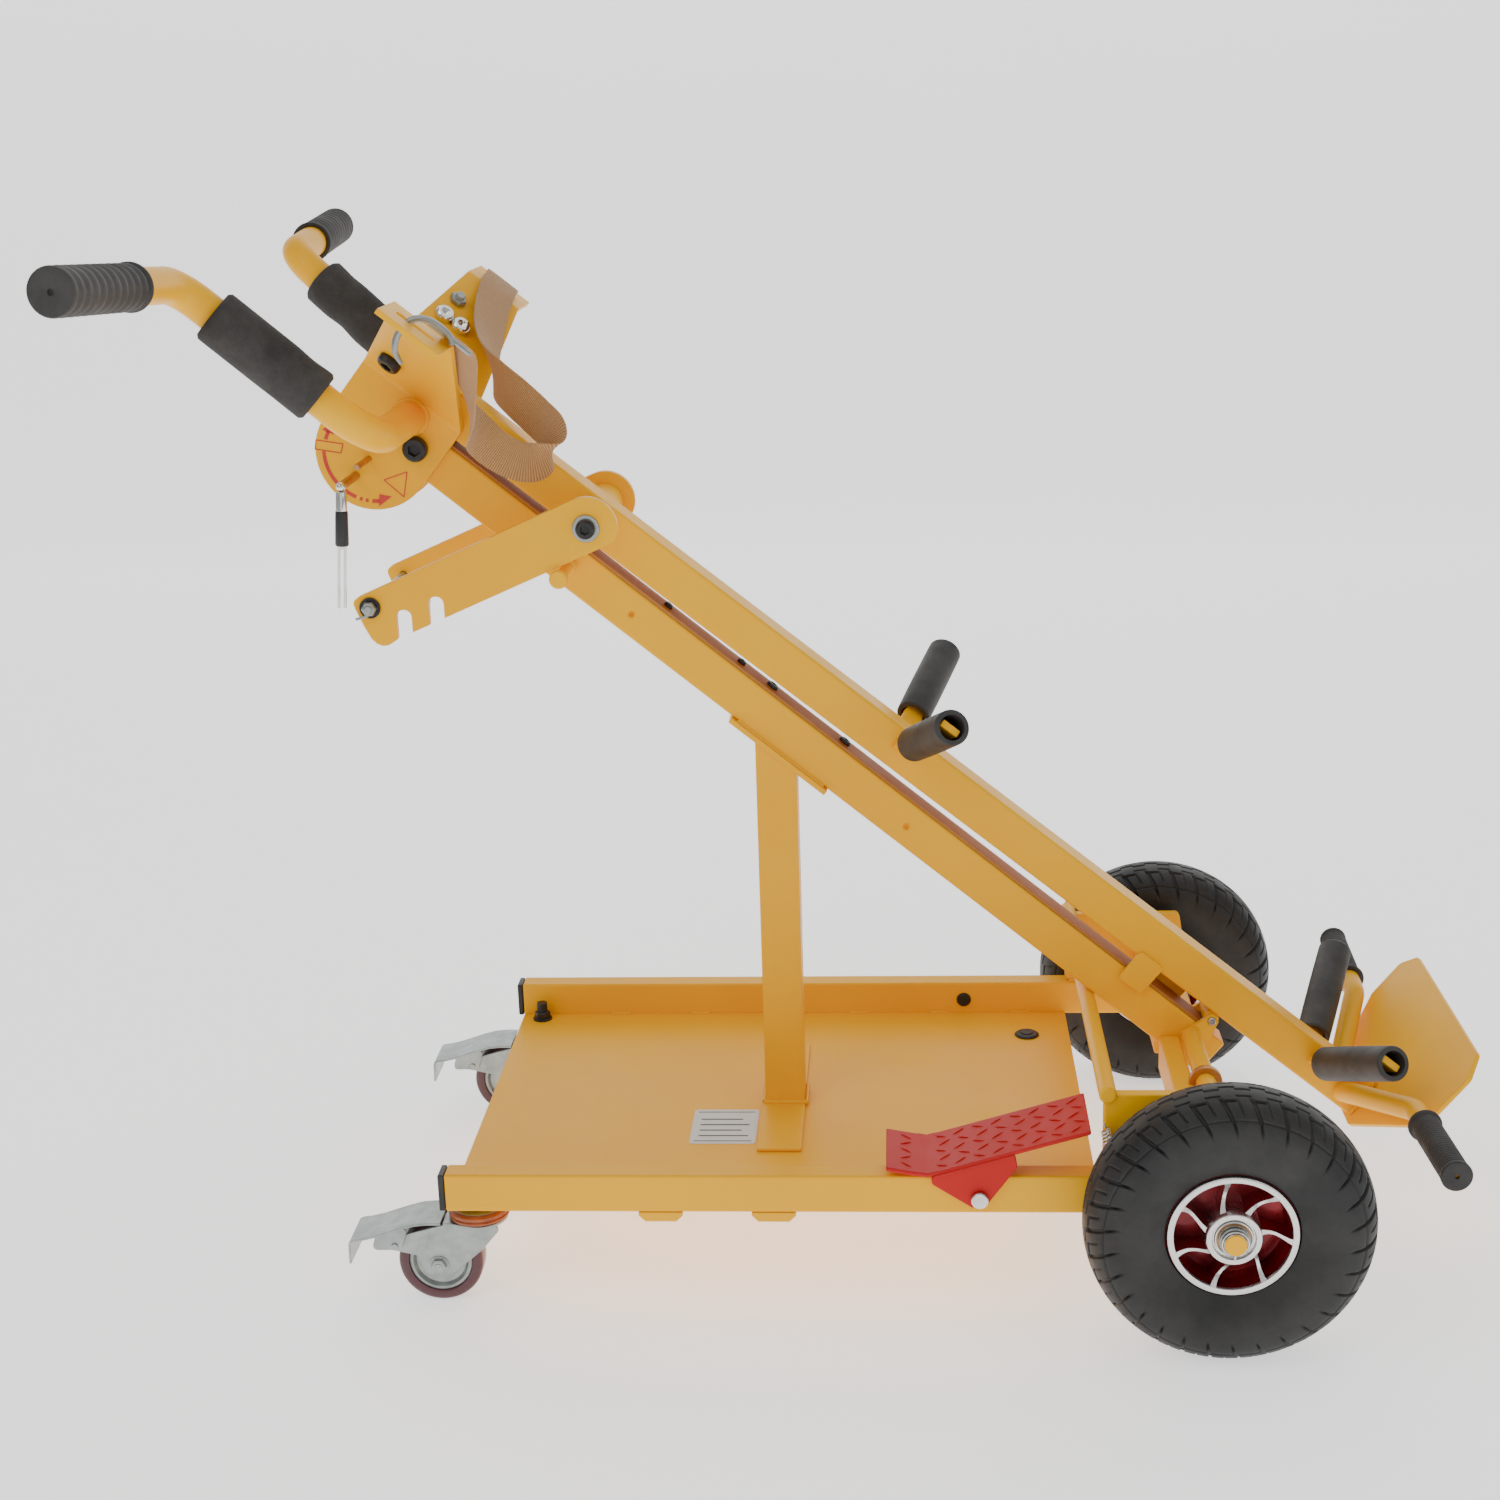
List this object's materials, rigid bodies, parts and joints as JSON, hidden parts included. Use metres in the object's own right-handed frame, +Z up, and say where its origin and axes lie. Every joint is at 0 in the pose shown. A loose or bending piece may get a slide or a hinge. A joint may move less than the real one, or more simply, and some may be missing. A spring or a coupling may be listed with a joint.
{
  "type": "wheel dolly",
  "caption": "Wheeled dolly with a tray frame on swivel casters and large wheels, carrying a tilting inclined cradle with V arms, toe plate and handlebars.",
  "frame": {"origin": "on the floor below the middle of the overall box", "axes": "+X towards the toe plate, +Y across towards the far side from the pedal, +Z up"},
  "size_m": [1.1702, 0.8708, 0.9774],
  "materials": {
    "yellow": "gloss powder coat",
    "strip": "matt wear strip",
    "steel": "satin",
    "zinc": "zinc plated",
    "black_steel": "black oxide",
    "pedal_red": "gloss",
    "webbing": "woven webbing",
    "tyre": "matt",
    "hub_red": "red anodised",
    "race": "satin",
    "maroon": "polyurethane",
    "foam": "foam",
    "rubber": "matt"
  },
  "bodies": {
    "chassis": {"rail_near": "yellow", "rail_far": "yellow", "floor_tray": "yellow", "post": "yellow", "mast_beam": "yellow", "slide_strip": "strip", "front_frame": "yellow", "wheel_axle": "steel", "kingpin_near": "black_steel", "kingpin_far": "black_steel", "pedal_pin": "steel", "pedal_spring": "steel", "hinge_pin": "steel"},
    "wheel_near": {"tyre_near": "tyre", "rim_near": "hub_red", "hub_bush_near": "steel"},
    "caster_near": {"caster_fork_near": "zinc", "caster_race_near": "race", "caster_axle_near": "zinc"},
    "caster_wheel_near": {"caster_tread_near": "maroon", "caster_core_near": "zinc"},
    "brake_near": {"brake_lever_near": "zinc"},
    "wheel_far": {"tyre_far": "tyre", "rim_far": "hub_red", "hub_bush_far": "steel"},
    "caster_far": {"caster_fork_far": "zinc", "caster_race_far": "race", "caster_axle_far": "zinc"},
    "caster_wheel_far": {"caster_tread_far": "maroon", "caster_core_far": "zinc"},
    "brake_far": {"brake_lever_far": "zinc"},
    "pedal": {"pedal": "pedal_red"},
    "cradle": {"cradle_beam": "yellow", "toe_plate": "yellow", "head_bolt": "black_steel", "strap": "webbing", "strap_hook": "zinc", "toe_grip_near": "rubber", "arm_sleeve_lower_near": "rubber", "arm_sleeve_upper_near": "rubber", "head_plate_near": "yellow", "handlebar_near": "yellow", "foam_sleeve_near": "foam", "handle_grip_near": "rubber", "prop_bolt_near": "steel", "toe_grip_far": "rubber", "arm_sleeve_lower_far": "rubber", "arm_sleeve_upper_far": "rubber", "head_plate_far": "yellow", "handlebar_far": "yellow", "foam_sleeve_far": "foam", "handle_grip_far": "rubber", "prop_bolt_far": "steel"},
    "prop": {"prop_bar_near": "yellow", "prop_bar_far": "yellow", "prop_cross_rod": "zinc"},
    "lever": {"release_lever": "zinc", "release_grip": "steel"}
  },
  "joints": [
    {"name": "cradle_tilt", "type": "hinge", "parent": "chassis", "child": "cradle", "pos_m": [0.3521, 0, 0.1998], "axis": [0, 1, 0], "range_deg": [0, 8]},
    {"name": "prop_pivot", "type": "hinge", "parent": "cradle", "child": "prop", "pos_m": [-0.23225, 0, 0.70967], "axis": [0, 1, 0], "range_deg": [-25.2, 0.4]},
    {"name": "release_swing", "type": "hinge", "parent": "cradle", "child": "lever", "pos_m": [-0.45336, 0, 0.75348], "axis": [0, 1, 0], "range_deg": [0, 60]},
    {"name": "pedal_rock", "type": "hinge", "parent": "chassis", "child": "pedal", "pos_m": [0.1171, 0, 0.124], "axis": [0, 1, 0], "range_deg": [0, 8], "stiffness_Nm_per_rad": 6, "springref_deg": -6.88},
    {"name": "wheel_spin_near", "type": "hinge", "parent": "chassis", "child": "wheel_near", "pos_m": [0.3319, -0.2884, 0.127], "axis": [0, 1, 0], "continuous": true},
    {"name": "caster_swivel_near", "type": "hinge", "parent": "chassis", "child": "caster_near", "pos_m": [-0.3481, -0.2, 0.09], "axis": [0, 0, 1], "continuous": true},
    {"name": "caster_roll_near", "type": "hinge", "parent": "caster_near", "child": "caster_wheel_near", "pos_m": [-0.3861, -0.2, 0.04], "axis": [0, 1, 0], "continuous": true},
    {"name": "brake_press_near", "type": "hinge", "parent": "caster_near", "child": "brake_near", "pos_m": [-0.4261, -0.2, 0.0615], "axis": [0, 1, 0], "range_deg": [-8, 0]},
    {"name": "wheel_spin_far", "type": "hinge", "parent": "chassis", "child": "wheel_far", "pos_m": [0.3319, 0.2884, 0.127], "axis": [0, 1, 0], "continuous": true},
    {"name": "caster_swivel_far", "type": "hinge", "parent": "chassis", "child": "caster_far", "pos_m": [-0.3481, 0.2, 0.09], "axis": [0, 0, 1], "continuous": true},
    {"name": "caster_roll_far", "type": "hinge", "parent": "caster_far", "child": "caster_wheel_far", "pos_m": [-0.3861, 0.2, 0.04], "axis": [0, 1, 0], "continuous": true},
    {"name": "brake_press_far", "type": "hinge", "parent": "caster_far", "child": "brake_far", "pos_m": [-0.4261, 0.2, 0.0615], "axis": [0, 1, 0], "range_deg": [-8, 0]}
  ],
  "couplings": [
    {"joint": "prop_pivot", "follows": "cradle_tilt", "ratio": -3.1}
  ]
}
